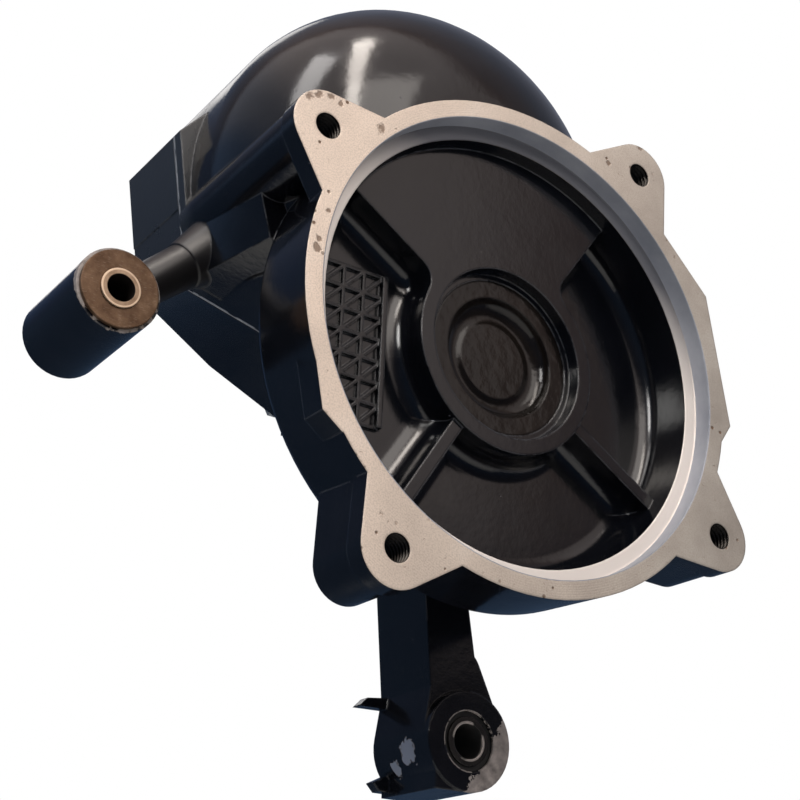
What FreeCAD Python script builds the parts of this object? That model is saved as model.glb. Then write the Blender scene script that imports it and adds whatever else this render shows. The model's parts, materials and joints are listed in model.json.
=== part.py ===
import FreeCAD, Part
import math
import os

# Crane gear motor: an offset spur gearbox with a motor bell, a torque arm and two bushes.
# Frame: origin on the motor axis at the machined flange face, +Y into the case, +Z up, millimetres.
# A plan point is (x, z) and depths are y values.

V = FreeCAD.Vector

# Motor flange and bell
spigot_r = 90.0
spigot_depth = 8.0
flange_r = 97.0
bell_r = 84.5
bell_draft = 2.5
bell_foot_r = bell_r - bell_draft
bell_floor_y = 28.0
bell_foot_round = 7.0
bell_corner_round = 8.0
drum_rear_y = 38.0
drum_draft = 2.0
drum_rear_r = flange_r - drum_draft
drum_edge_round = 4.0
motor_bolt_circle_r = 107.5
motor_bolt_first_deg = 58.6
lug_count = 4
motor_tap_r = 5.1
motor_tap_depth = 24.0
lug_tip_r = 14.0
lug_root_r = 41.0
lug_root_at = 50.0
lug_column_y = 32.0
lug_flange_thickness = 9.0
lug_column_inset = 1.2
side_pad_thickness = 12.0
right_pad = [(64.0, 73.0), (91.0, 47.0), (101.0, -8.0), (95.0, -17.0), (60.0, 0.0)]
left_pad = [(-95.0, -14.0), (-87.0, -51.0), (-79.0, -57.0), (-60.0, -20.0)]

# Webs, boss and pockets at the bottom of the bell
bell_boss_r = 40.0
bell_boss_y = 14.0
bell_sector_from_deg = 55.5
bell_sector_to_deg = 147.5
bell_floor_wall = 6.0
sector_wall_deg = 5.0
bell_rib_degs = (-31.5, -122.5)
bell_rib_thickness = 5.0
bell_rib_y = 15.5
bell_rib_end_r = bell_r + 2 * bell_floor_wall
rib_fillet_r = 11.0
cup_mouth_r = 34.0
cup_foot_r = 33.5
cup_seat_y = 19.0
pad_rib_pitch = 8.6
pad_rib_width = 1.3
pad_rib_height = 1.4
pad_column_count = 3
pad_row_count = 7
pad_corner = (-74.5, -39.5)
pad_edge_width = 2.2
pad_edge_height = 2.6

# Axes: motor axis A, output axis B, intermediate axis C
motor_axis = (0.0, 0.0)
output_distance = 78.4
output_direction_deg = 102.1
stage_one_module = 1.5
stage_one_pinion_teeth = 15
stage_one_wheel_teeth = 51
stage_two_module = 2.5
stage_two_pinion_teeth = 14
stage_two_wheel_teeth = 54
pressure_deg = 20.0
pinion_shift = 0.3
tooth_backlash = 0.16
stage_one_y = 62.0
stage_one_width = 12.0
wheel_one_width = 10.0
stage_two_y = 79.0
stage_two_width = 26.0
wheel_two_width = 24.0

# Gear case
split_face_width = 16.3
dome_front_y = 7.5
dome_corner_r = 60.0
dome_wall = 8.0
split_y = 90.0
gasket_thickness = 0.5
case_rear_y = 137.0
case_rear_chamfer = 5.0
case_wall = 7.0
gear_room_clearance = 2.25
cavity_a_r = 20.0
low_room_front_y = 44.0
case_a_r = 38.0
lower_case_rear_y = 104.0
lower_case_cut = [(-10.0, -4.0), (38.0, -28.5)]
side_wall_foot = [(-66.0, 18.0), (-48.0, 10.0), (-30.0, 2.0)]
side_wall_front = [(-102.2, 60.0), (-98.1, 46.0), (-92.5, 27.0)] + side_wall_foot
side_wall_split = [(-105.0, 60.0), (-103.0, 47.0), (-101.5, 27.0)] + side_wall_foot
side_wall_rear = [(-105.0, 60.0), (-102.5, 47.0), (-93.0, 36.5)] + side_wall_foot
side_wall_front_y = 36.0
side_corner = (-111.0, 91.0)
side_corner_on_dome = (-93.0, 112.5)
split_flange_thickness = 5.5
ridge_lug = 1
ridge_y = 90.0
ridge_inset = 0.6

# Split screws, dowels and oil plugs
screw_r = 4.0
screw_hole_r = 4.5
screw_head_r = 6.5
screw_head_height = 8.0
screw_hex_r = 3.45
screw_socket_depth = 4.0
screw_counterbore_r = 7.5
screw_seat_y = 104.0
screw_length = 30.0
screw_tap_spare = 2.0
screw_degs = (5.0, 45.0, 85.0, 125.0, 165.0, 201.0)
screw_degs_at_c = (-15.0, -75.0)
screw_deg_at_a = 215.0
dowel_r = 4.0
dowel_length = 16.0
dowel_degs = (25.0, 181.0)
plug_hole_r = 8.0
plug_head_r = 11.0
plug_head_height = 7.0
plug_washer_thickness = 1.5
plug_edge_gap = 2.5
plug_bore_depth = 15.0
plug_degs = {"filler_plug": 62.0, "level_plug": 172.0, "drain_plug": 262.0}

# Bearings: bore radius, outer radius, width and front face
input_front_bearing = (15.0, 31.0, 16.0, 28.0)
input_rear_bearing = (15.0, 23.5, 9.0, 48.0)
intermediate_front_bearing = (8.5, 20.0, 12.0, 46.0)
intermediate_rear_bearing = (10.0, 23.5, 14.0, 110.0)
output_front_bearing = (25.0, 40.0, 16.0, 56.0)
output_rear_bearing = (25.0, 40.0, 16.0, 112.0)
ring_gap = 0.3
ring_share = 0.3
shield_set_back = 0.4
hub_wall = 6.0
output_hub_wall = 4.5
hub_lip = 1.0
input_seat_wall = 2.0
intermediate_front_recess = 5.0
intermediate_rear_recess = 3.0

# Shafts
motor_shaft_bore_r = 9.5
motor_shaft_bore_length = 22.0
motor_key_width = 6.0
motor_key_rise = 2.8
input_collar_r = 18.0
collar_clearance = 1.5
intermediate_shoulder_r = 13.0
output_spacer_wall = 5.0
wheel_one_seat_r = 12.0
wheel_one_shoulder_r = 15.0
wheel_two_seat_r = 27.0
output_collar_r = 32.0
output_bore_r = 17.5
output_key_width = 10.0
output_key_rise = 3.3
output_end_y = 141.0
shaft_end_gap = 2.0
wheel_one_key = (8.0, 7.0, 10.0)
wheel_two_key = (16.0, 10.0, 22.0)
wheel_one_web = (19.0, 33.0, 6.0)
wheel_two_web = (36.0, 60.0, 12.0)
seal_r = 36.0
seal_width = 8.0
seal_shell = 2.4
seal_lip_clearance = 0.05
seal_lip_at = (3.2, 4.2)
seal_lip_back = 2.0
seal_lip_slope = 3.2
clip_thickness = 1.5
clip_band = 2.6
clip_groove = 1.0

# Closing cap of the input cup
cap_front_y = 19.4
cap_depth = 6.6
cap_wall = 2.0
cap_ring_r = 24.0
cap_recess_r = 15.0
cap_recess_depth = 4.6

# Left bush on its stub
left_bush_at = (-138.0, 0.7)
left_bush_y = 60.0
left_bush_length = 50.0
left_bush_r = 16.0
left_bush_bore_r = 12.5
left_sleeve_r = 7.5
left_sleeve_bore_r = 5.25
left_washer_r = 14.8
washer_thickness = 1.6
sleeve_proud = 0.8
stub_root_at = (-92.0, 42.0)
stub_root_r = 9.5
stub_end_r = 7.6
stub_flare_r = 13.5
stub_flare_length = 18.0
stub_y = 81.0

# Torque arm and its eye
eye_at = (17.2, -136.2)
eye_y = 58.0
eye_length = 36.0
eye_r = 18.5
eye_bore_r = 11.0
eye_sleeve_r = 9.0
eye_sleeve_bore_r = 6.5
eye_rubber_set_back = 1.5
eye_sleeve_set_back = 0.5
arm_front_y = 61.0
arm_depth = 33.0
rear_case_gap = 1.0
arm_tip_halves = (14.0, 9.5)
arm_root_halves = (8.5, 7.0)
arm_root_at = (1.0, -28.0)
eye_foot_drop = 18.4
eye_foot_half = 14.0
eye_fins = [[(-11.5, -122.5), (-8.0, -119.0), (4.0, -117.5), (4.0, -122.0)],
            [(-4.0, -150.0), (4.0, -146.0), (4.0, -153.0), (-1.0, -153.0)]]
eye_fin_depth = 5.0
eye_neck_length = 25.0
eye_neck_half = 11.0
eye_foot_set_back = 1.0

# Derived places
stage_one_centres = stage_one_module * (stage_one_pinion_teeth + stage_one_wheel_teeth) / 2
stage_two_centres = stage_two_module * (stage_two_pinion_teeth + stage_two_wheel_teeth) / 2
output_axis = (
    output_distance * math.cos(math.radians(output_direction_deg)),
    output_distance * math.sin(math.radians(output_direction_deg)),
)
angle_at_motor = math.degrees(math.acos(
    (stage_one_centres ** 2 + output_distance ** 2 - stage_two_centres ** 2)
    / (2 * stage_one_centres * output_distance)
))
intermediate_direction_deg = output_direction_deg - angle_at_motor
intermediate_axis = (
    stage_one_centres * math.cos(math.radians(intermediate_direction_deg)),
    stage_one_centres * math.sin(math.radians(intermediate_direction_deg)),
)
rear_split_y = split_y + gasket_thickness
wheel_one_tip_r = stage_one_module * (stage_one_wheel_teeth / 2 + 1 - pinion_shift)
wheel_two_tip_r = stage_two_module * (stage_two_wheel_teeth / 2 + 1 - pinion_shift)
cavity_b_r = wheel_two_tip_r + gear_room_clearance
cavity_c_r = wheel_one_tip_r + gear_room_clearance
dome_r = cavity_b_r + split_face_width
case_c_r = cavity_c_r + split_face_width
screw_circle_r = cavity_b_r + split_face_width / 2
plug_circle_r = cavity_b_r - plug_head_r - plug_edge_gap
far = 400.0
over = 1.0


# Plan helpers
def place(at, y):
    return V(at[0], y, at[1])


def polar(at, r, deg):
    angle = math.radians(deg)
    return (at[0] + r * math.cos(angle), at[1] + r * math.sin(angle))


def direction_deg(start, end):
    return math.degrees(math.atan2(end[1] - start[1], end[0] - start[0]))


def disc(r, y0, y1, at=(0.0, 0.0)):
    return Part.makeCylinder(r, y1 - y0, place(at, y0), V(0, 1, 0))


def cone(r0, r1, y0, y1, at=(0.0, 0.0)):
    return Part.makeCone(r0, r1, y1 - y0, place(at, y0), V(0, 1, 0))


def tube(r_out, r_in, y0, y1, at=(0.0, 0.0)):
    return disc(r_out, y0, y1, at).cut(disc(r_in, y0, y1, at))


def prism(points, y0, y1):
    corners = [place(p, y0) for p in points]
    face = Part.Face(Part.makePolygon(corners + corners[:1]))
    return face.extrude(V(0, y1 - y0, 0))


def bar(start, end, width, y0, y1):
    """A straight rib of the given width between two plan points."""
    side = direction_deg(start, end) + 90
    corners = [polar(start, width / 2, side), polar(end, width / 2, side),
               polar(end, -width / 2, side), polar(start, -width / 2, side)]
    return prism(corners, y0, y1)


def extrude_edges(edges, y0, y1):
    face = Part.Face(Part.Wire(Part.__sortEdges__(edges)))
    return face.extrude(V(0, y1 - y0, 0))


def line(start, end, y):
    return Part.LineSegment(place(start, y), place(end, y)).toShape()


def arc(at, r, from_deg, to_deg, y):
    middle = (from_deg + to_deg) / 2
    ends = [place(polar(at, r, deg), y) for deg in (from_deg, middle, to_deg)]
    return Part.Arc(*ends).toShape()


def link(at_one, r_one, at_two, r_two, y0, y1):
    """Two round ends joined by their outer tangents."""
    span = math.hypot(at_two[0] - at_one[0], at_two[1] - at_one[1])
    along = direction_deg(at_one, at_two)
    lean = math.degrees(math.acos((r_one - r_two) / span))
    left, right = along + lean, along - lean
    edges = [
        line(polar(at_one, r_one, left), polar(at_two, r_two, left), y0),
        arc(at_two, r_two, left, right, y0),
        line(polar(at_two, r_two, right), polar(at_one, r_one, right), y0),
        arc(at_one, r_one, right, left - 360, y0),
    ]
    return extrude_edges(edges, y0, y1)


def revolve(profile, at):
    """A turned solid from (radius, y) corners; a corner with a third value is an arc's middle point."""
    edges = []
    index = 0
    count = len(profile)
    while index < count:
        start = profile[index]
        follow = profile[(index + 1) % count]
        if len(follow) == 3:
            end = profile[(index + 2) % count]
            middle = V(at[0] + follow[0], follow[1], at[1])
            ends = (V(at[0] + start[0], start[1], at[1]), middle, V(at[0] + end[0], end[1], at[1]))
            edges.append(Part.Arc(*ends).toShape())
            index += 2
        else:
            ends = (V(at[0] + start[0], start[1], at[1]), V(at[0] + follow[0], follow[1], at[1]))
            edges.append(Part.LineSegment(*ends).toShape())
            index += 1
    face = Part.Face(Part.Wire(edges))
    return face.revolve(place(at, 0), V(0, 1, 0), 360)


def fuse(shapes):
    solid = shapes[0]
    for shape in shapes[1:]:
        solid = solid.fuse(shape)
    return solid.removeSplitter()


def cut_all(solid, tools):
    for tool in tools:
        solid = solid.cut(tool)
    return solid


def save(name, *solids):
    shape = solids[0] if len(solids) == 1 else Part.makeCompound(list(solids))
    shape.exportStep("parts/" + name + ".step")
    print(name, len(shape.Solids), "valid" if shape.isValid() else "INVALID", round(shape.Volume))


# Involute gears
def involute(angle):
    return math.tan(angle) - angle


def gear(module, teeth, shift, y0, y1, at, phase_deg):
    """A spur gear with a tooth centred on phase_deg, measured from +X towards +Z."""
    pressure = math.radians(pressure_deg)
    pitch_r = module * teeth / 2
    base_r = pitch_r * math.cos(pressure)
    tip_r = pitch_r + module * (1 + shift)
    root_r = pitch_r - module * (1.25 - shift)
    thickness = module * (math.pi / 2 + 2 * shift * math.tan(pressure)) - tooth_backlash / 2
    start_r = max(base_r, root_r)

    def half_deg(r):
        lean = math.acos(min(1.0, base_r / r))
        return math.degrees(thickness / (2 * pitch_r) + involute(pressure) - involute(lean))

    def flank_point(r, centre_deg, side):
        return place(polar(at, r, centre_deg + side * half_deg(max(r, base_r))), y0)

    edges = []
    pitch_deg = 360 / teeth
    for tooth in range(teeth):
        centre = phase_deg + tooth * pitch_deg
        radii = (start_r, (start_r + tip_r) / 2, tip_r)
        for side in (-1, 1):
            edges.append(Part.Arc(*[flank_point(r, centre, side) for r in radii]).toShape())
            if root_r < base_r:
                foot = place(polar(at, root_r, centre + side * half_deg(base_r)), y0)
                edges.append(Part.LineSegment(foot, flank_point(start_r, centre, side)).toShape())
        edges.append(arc(at, tip_r, centre - half_deg(tip_r), centre + half_deg(tip_r), y0))
        foot_deg = half_deg(start_r)
        edges.append(arc(at, root_r, centre + foot_deg, centre + pitch_deg - foot_deg, y0))
    return extrude_edges(edges, y0, y1)


def meshing_phase(at_one, teeth_one, phase_one, at_two, teeth_two):
    """The phase of gear two that puts a tooth space opposite gear one's tooth."""
    along = direction_deg(at_one, at_two)
    share_one = (along - phase_one) * teeth_one / 360
    return along + 180 - (0.5 - share_one) * 360 / teeth_two


# Bearings
def bearing_rings(spec, at):
    """Outer ring with its two shields set back in it, and inner ring."""
    bore, outer, width, y0 = spec
    y1 = y0 + width
    band = (outer - bore) * ring_share
    track_out = outer - band
    track_in = bore + band
    outer_ring = tube(outer, track_in + ring_gap, y0, y1, at)
    for from_y in (y0 - over, y1 - shield_set_back):
        outer_ring = outer_ring.cut(disc(track_out, from_y, from_y + shield_set_back + over, at))
    return outer_ring, tube(track_in, bore, y0, y1, at)


def circlip(at, y0, r_in, r_out, gap_deg):
    """A retaining ring, open at gap_deg."""
    ring = tube(r_out, r_in, y0, y0 + clip_thickness, at)
    gap = bar(at, polar(at, r_out + over, gap_deg), 2 * clip_band, y0 - over, y0 + clip_thickness + over)
    return ring.cut(gap)


# Motor flange and bell
def lug_deg(index):
    return motor_bolt_first_deg + 360 / lug_count * index


def lug_hole(index):
    return polar(motor_axis, motor_bolt_circle_r, lug_deg(index))


def lug_shape(index, tip_r, y0, y1):
    root = polar(motor_axis, lug_root_at, lug_deg(index))
    return link(root, lug_root_r, lug_hole(index), tip_r, y0, y1)


def bell_drum():
    drum = cone(flange_r, drum_rear_r, 0, drum_rear_y)
    rear_edges = [e for e in drum.Edges if abs(e.BoundBox.YMin - drum_rear_y) < 0.01 and len(e.Vertexes) == 1]
    drum = drum.makeFillet(drum_edge_round, rear_edges)
    pieces = [drum, prism(right_pad, 0, side_pad_thickness), prism(left_pad, 0, side_pad_thickness)]
    column_from = lug_flange_thickness / 2
    for index in range(lug_count):
        pieces.append(lug_shape(index, lug_tip_r, 0, lug_flange_thickness))
        if index == ridge_lug:
            pieces.append(disc(lug_tip_r - ridge_inset, column_from, ridge_y, lug_hole(index)))
        else:
            pieces.append(lug_shape(index, lug_tip_r - lug_column_inset, column_from, lug_column_y))
    return fuse(pieces)


def sector(r, from_deg, to_deg, y0, y1):
    edges = [
        line(motor_axis, polar(motor_axis, r, from_deg), y0),
        arc(motor_axis, r, from_deg, to_deg, y0),
        line(polar(motor_axis, r, to_deg), motor_axis, y0),
    ]
    return extrude_edges(edges, y0, y1)


def radial_rib(angle):
    end = polar(motor_axis, bell_rib_end_r, angle)
    return bar(motor_axis, end, bell_rib_thickness, bell_rib_y, bell_floor_y)


def rib_fillet(angle):
    """The broad hollow round between the floor and the left flank of a rib."""
    r = rib_fillet_r
    reach = bell_rib_thickness / 2 + r
    left = angle - 90
    start = polar(motor_axis, bell_boss_r - r, angle)
    end = polar(motor_axis, bell_rib_end_r, angle)
    top = bell_floor_y - r
    block = bar(polar(start, reach / 2, left), polar(end, reach / 2, left), reach, top, bell_floor_y)
    run = place(end, 0).sub(place(start, 0))
    return block.cut(Part.makeCylinder(r, run.Length, place(polar(start, reach, left), top), run))


def bell_hollow():
    """The space inside the bell: the spigot, the wall and the three rounded pockets."""
    hollow = cone(bell_r, bell_foot_r, spigot_depth, bell_floor_y)
    raised = fuse([
        sector(bell_rib_end_r, bell_sector_from_deg, bell_sector_to_deg, bell_boss_y, bell_floor_y),
        disc(bell_boss_r, bell_boss_y, bell_floor_y),
    ])
    corners = [e for e in raised.Edges if e.BoundBox.DiagonalLength < e.BoundBox.YLength + 0.01]
    raised = raised.makeFillet(bell_corner_round, corners)
    ribs = [radial_rib(angle) for angle in bell_rib_degs]
    hollow = hollow.cut(fuse([raised] + ribs))
    foot_edges = [e for e in hollow.Edges if e.BoundBox.YMin > bell_floor_y - 0.01]
    hollow = hollow.makeFillet(bell_foot_round, foot_edges)
    hollow = hollow.cut(rib_fillet(bell_rib_degs[1]))
    return fuse([hollow, disc(spigot_r, -over, spigot_depth)])


def lattice_pad():
    """Thin crossed ribs on the floor of the left pocket, with a higher rib along their inner side."""
    top = bell_floor_y - pad_rib_height
    sunk = bell_floor_y + bell_floor_wall / 2
    x0, z0 = pad_corner
    x1 = x0 + pad_column_count * pad_rib_pitch
    z1 = z0 + pad_row_count * pad_rib_pitch
    ribs = []
    for column in range(pad_column_count):
        x = x0 + column * pad_rib_pitch
        ribs.append(bar((x, z0), (x, z1), pad_rib_width, top, sunk))
    for row in range(pad_row_count + 1):
        z = z0 + row * pad_rib_pitch
        ribs.append(bar((x0, z), (x1, z), pad_rib_width, top, sunk))
    for start in range(-pad_column_count + 1, pad_row_count):
        first = max(0, -start)
        last = min(pad_column_count, pad_row_count - start)
        foot = (x0 + first * pad_rib_pitch, z0 + (start + first) * pad_rib_pitch)
        head = (x0 + last * pad_rib_pitch, z0 + (start + last) * pad_rib_pitch)
        ribs.append(bar(foot, head, pad_rib_width, top, sunk))
    ribs.append(bar((x1, z0), (x1, z1), pad_edge_width, bell_floor_y - pad_edge_height, sunk))
    pocket = disc(bell_foot_r + 1, top - pad_edge_height, sunk)
    return fuse(ribs).common(pocket)


# Gear case forms
def dome(front_y, r, corner_r, rear_y):
    lean = math.sqrt(0.5)
    flat_r = r - corner_r
    profile = [
        (0, front_y),
        (flat_r, front_y),
        (flat_r + corner_r * lean, front_y + corner_r * (1 - lean), "arc"),
        (r, front_y + corner_r),
        (r, rear_y),
        (0, rear_y),
    ]
    return revolve(profile, output_axis)


def outside_of(wall):
    """The plan region to the lower left of a side wall."""
    low = -case_a_r - over
    return wall + [(wall[-1][0], low), (-far, low), (-far, wall[0][1])]


def tapered_prism(points_one, y_one, points_two, y_two):
    """A solid with straight rulings between two outlines of as many corners."""
    wires = []
    for points, y in ((points_one, y_one), (points_two, y_two)):
        corners = [place(p, y) for p in points]
        wires.append(Part.makePolygon(corners + corners[:1]))
    return Part.makeLoft(wires, True, True)


def case_outline(y0, y1, with_corner):
    """The outline of the gear case at the split, extruded from y0 to y1."""
    b, c, a = output_axis, intermediate_axis, motor_axis
    tangents_bc = link(b, dome_r, c, case_c_r, y0, y1)
    left_edge = [(b[0] - dome_r, b[1])] + side_wall_split + [a, b]
    body = [tangents_bc, link(c, case_c_r, a, case_a_r, y0, y1), prism(left_edge, y0, y1)]
    outline = fuse(body)
    outline = outline.cut(prism(outside_of(side_wall_split), y0 - over, y1 + over))
    if with_corner:
        corner = [side_corner, side_wall_split[1], b, side_corner_on_dome]
        outline = fuse([outline, prism(corner, y0, y1)])
    return outline


def bearing_end(spec):
    bore, outer, width, y0 = spec
    return y0 + width


def front_cavity():
    """The gear room of the front half, with the hubs of the three front bearings left standing."""
    b, c, a = output_axis, intermediate_axis, motor_axis
    input_hub_end = bearing_end(input_rear_bearing) + hub_lip
    low_room = link(c, cavity_c_r, b, cavity_c_r, low_room_front_y, split_y + over)
    rooms = [dome(dome_front_y + dome_wall, cavity_b_r, dome_corner_r - dome_wall, split_y + over),
             low_room, disc(cavity_a_r, input_hub_end, split_y + over, a)]
    floor_end = bell_floor_y + bell_floor_wall
    floor = disc(bell_r + bell_floor_wall, 0, floor_end)
    sector_room = sector(far, bell_sector_from_deg + sector_wall_deg, bell_sector_to_deg - sector_wall_deg,
                         0, floor_end)
    hubs = [
        floor.cut(sector_room),
        disc(bell_boss_r, 0, bearing_end(input_front_bearing) + input_seat_wall, a),
        disc(input_rear_bearing[1] + hub_wall, 0, input_hub_end, a),
        disc(intermediate_front_bearing[1] + hub_wall, 0, bearing_end(intermediate_front_bearing), c),
        disc(output_front_bearing[1] + output_hub_wall, 0, bearing_end(output_front_bearing), b),
    ]
    return fuse(rooms).cut(fuse(hubs))


def blind_seat(spec, at, open_y, recess):
    """A bearing seat open towards open_y, with a shallow shaft recess behind its shoulder."""
    bore, outer, width, y0 = spec
    seat_from, seat_to = (y0, open_y) if open_y > y0 else (open_y, y0 + width)
    lip = bore + (outer - bore) * ring_share
    recess_from, recess_to = (y0 - recess, y0) if open_y > y0 else (y0 + width, y0 + width + recess)
    return fuse([disc(outer, seat_from, seat_to, at), disc(lip, recess_from, recess_to, at)])


def torque_arm():
    """The arm and its eye; each pair of half widths is left and right of the centre line."""
    down = direction_deg(arm_root_at, eye_at)
    left = down - 90
    corners = [
        polar(arm_root_at, arm_root_halves[0], left),
        polar(eye_at, arm_tip_halves[0], left),
        polar(eye_at, -arm_tip_halves[1], left),
        polar(arm_root_at, -arm_root_halves[1], left),
    ]
    arm = prism(corners, arm_front_y, arm_front_y + arm_depth)
    arm = arm.cut(disc(case_a_r + rear_case_gap, split_y, case_rear_y))
    neck_at = polar(eye_at, -eye_neck_length, down)
    neck = link(eye_at, eye_r, neck_at, eye_neck_half, arm_front_y, arm_front_y + arm_depth)
    eye = disc(eye_r, eye_y, eye_y + eye_length, eye_at)
    x, z = eye_at
    low = z - eye_foot_drop
    foot = prism([(x - eye_foot_half, z), (x - eye_foot_half, low), (x, low), (x, z)],
                 eye_y + eye_foot_set_back, eye_y + eye_length)
    fins = [prism(points, eye_y + eye_length - eye_fin_depth, eye_y + eye_length) for points in eye_fins]
    return fuse([arm, neck, eye, foot] + fins)


def bush_stub():
    base = place(stub_root_at, stub_y)
    tip = place(left_bush_at, stub_y)
    run = tip.sub(base)
    rod = Part.makeCone(stub_root_r, stub_end_r, run.Length, base, run)
    flare = Part.makeCone(stub_flare_r, stub_root_r, stub_flare_length, base, run)
    stub = fuse([rod, flare]).cut(disc(far, split_y, case_rear_y))
    barrel = disc(left_bush_r, left_bush_y, left_bush_y + left_bush_length, left_bush_at)
    return fuse([stub, barrel])


def screw_points():
    points = [polar(output_axis, screw_circle_r, deg) for deg in screw_degs]
    ring_c = (cavity_c_r + case_c_r) / 2
    points += [polar(intermediate_axis, ring_c, deg) for deg in screw_degs_at_c]
    points.append(polar(motor_axis, (cavity_a_r + case_a_r) / 2, screw_deg_at_a))
    return points


def dowel_points():
    return [polar(output_axis, screw_circle_r, deg) for deg in dowel_degs]


def gear_housing():
    outer_dome = dome(dome_front_y, dome_r, dome_corner_r, split_y)
    outer_dome = outer_dome.common(case_outline(0, split_y, False))
    lower = case_outline(side_wall_front_y, split_y, False)
    flare = tapered_prism(outside_of(side_wall_front), side_wall_front_y,
                          outside_of(side_wall_split), split_y)
    dome_z = side_wall_split[0][1]
    above = prism([(-far, dome_z), (far, dome_z), (far, far), (-far, far)], 0, split_y)
    lower = cut_all(lower, [flare, above])
    rim = case_outline(split_y - split_flange_thickness, split_y, True)
    body = fuse([outer_dome, lower, rim, bell_drum(), torque_arm(), bush_stub()])
    a, b, c = motor_axis, output_axis, intermediate_axis
    cuts = [bell_hollow(), front_cavity()]
    cuts.append(cone(cup_mouth_r, cup_foot_r, bell_boss_y, cup_seat_y, a))
    cuts.append(disc(input_front_bearing[1], cup_seat_y - over, bearing_end(input_front_bearing), a))
    collar_room_r = input_collar_r + collar_clearance
    cuts.append(disc(collar_room_r, input_front_bearing[3], input_rear_bearing[3] + over, a))
    hub_end = bearing_end(input_rear_bearing) + hub_lip
    cuts.append(disc(input_rear_bearing[1], input_rear_bearing[3], hub_end + over, a))
    clip_y = input_front_bearing[3] - clip_thickness
    cuts.append(disc(input_front_bearing[1] + clip_groove, clip_y, clip_y + clip_thickness, a))
    core_depth = output_front_bearing[3] - dome_front_y - dome_wall
    cuts.append(blind_seat(output_front_bearing, b, bearing_end(output_front_bearing) + over, core_depth))
    cuts.append(blind_seat(intermediate_front_bearing, c, bearing_end(intermediate_front_bearing) + over,
                           intermediate_front_recess))
    for index in range(lug_count):
        cuts.append(disc(motor_tap_r, -over, motor_tap_depth, lug_hole(index)))
    tap_from = screw_seat_y - screw_length - screw_tap_spare
    for point in screw_points():
        cuts.append(disc(screw_r, tap_from, split_y + over, point))
    for point in dowel_points():
        cuts.append(disc(dowel_r, split_y - dowel_length / 2, split_y + over, point))
    bush_end = left_bush_y + left_bush_length
    cuts.append(disc(left_bush_bore_r, left_bush_y - over, bush_end + over, left_bush_at))
    cuts.append(disc(eye_bore_r, eye_y - over, eye_y + eye_length + over, eye_at))
    housing = cut_all(body, cuts)
    return fuse([housing, lattice_pad()])


# Rear half of the case
def rear_housing():
    b, c = output_axis, intermediate_axis
    outline = case_outline(rear_split_y, case_rear_y, True)
    left_z, right_z = lower_case_cut[0][1], lower_case_cut[1][1]
    low_cut = prism([(-far, left_z)] + lower_case_cut + [(far, right_z), (far, -far), (-far, -far)],
                    lower_case_rear_y, case_rear_y + over)
    draft = tapered_prism(outside_of(side_wall_split), rear_split_y, outside_of(side_wall_rear), case_rear_y)
    full = cut_all(outline, [low_cut, draft])
    rear_edges = [e for e in full.Edges if e.BoundBox.YMin > case_rear_y - 0.01]
    full = full.makeChamfer(case_rear_chamfer, rear_edges)
    rooms = [
        disc(cavity_b_r, rear_split_y - over, case_rear_y - case_wall, b),
        link(c, cavity_c_r, b, cavity_c_r, rear_split_y - over, case_rear_y - case_wall),
    ]
    hubs = [
        disc(output_rear_bearing[1] + hub_wall, output_rear_bearing[3] - hub_lip, case_rear_y, b),
        disc(intermediate_rear_bearing[1] + hub_wall, intermediate_rear_bearing[3] - hub_lip, case_rear_y, c),
    ]
    cuts = [fuse(rooms).cut(fuse(hubs))]
    shoulder = case_rear_y - seal_width - bearing_end(output_rear_bearing)
    cuts.append(blind_seat(output_rear_bearing, b, output_rear_bearing[3] - hub_lip - over, shoulder))
    cuts.append(disc(seal_r, case_rear_y - seal_width, case_rear_y + over, b))
    cuts.append(blind_seat(intermediate_rear_bearing, c, intermediate_rear_bearing[3] - hub_lip - over,
                           intermediate_rear_recess))
    for point in screw_points():
        cuts.append(disc(screw_hole_r, rear_split_y - over, case_rear_y + over, point))
        cuts.append(disc(screw_counterbore_r, screw_seat_y, case_rear_y + over, point))
    for point in dowel_points():
        cuts.append(disc(dowel_r, rear_split_y - over, split_y + dowel_length / 2, point))
    for deg in plug_degs.values():
        cuts.append(disc(plug_hole_r, case_rear_y - plug_bore_depth, case_rear_y + over,
                         polar(b, plug_circle_r, deg)))
    return cut_all(full, cuts)


def split_gasket():
    gasket = case_outline(split_y, rear_split_y, True)
    b, c, a = output_axis, intermediate_axis, motor_axis
    cuts = [
        disc(cavity_b_r, split_y - over, rear_split_y + over, b),
        link(c, cavity_c_r, b, cavity_c_r, split_y - over, rear_split_y + over),
        disc(cavity_a_r, split_y - over, rear_split_y + over, a),
    ]
    cuts += [disc(screw_hole_r, split_y - over, rear_split_y + over, point) for point in screw_points()]
    cuts += [disc(dowel_r, split_y - over, rear_split_y + over, point) for point in dowel_points()]
    return cut_all(gasket, cuts)


def hexagon(at, across_r, y0, y1):
    return prism([polar(at, across_r, 60 * side) for side in range(6)], y0, y1)


def socket_screw(point):
    shank = disc(screw_r, screw_seat_y - screw_length, screw_seat_y, point)
    head = disc(screw_head_r, screw_seat_y, screw_seat_y + screw_head_height, point)
    head_end = screw_seat_y + screw_head_height
    socket = hexagon(point, screw_hex_r, head_end - screw_socket_depth, head_end + over)
    return fuse([shank, head]).cut(socket)


def oil_plug(point):
    seat = case_rear_y + plug_washer_thickness
    stem = disc(plug_hole_r, case_rear_y - case_wall, seat, point)
    head = hexagon(point, plug_head_r, seat, seat + plug_head_height)
    return fuse([stem, head])


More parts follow.
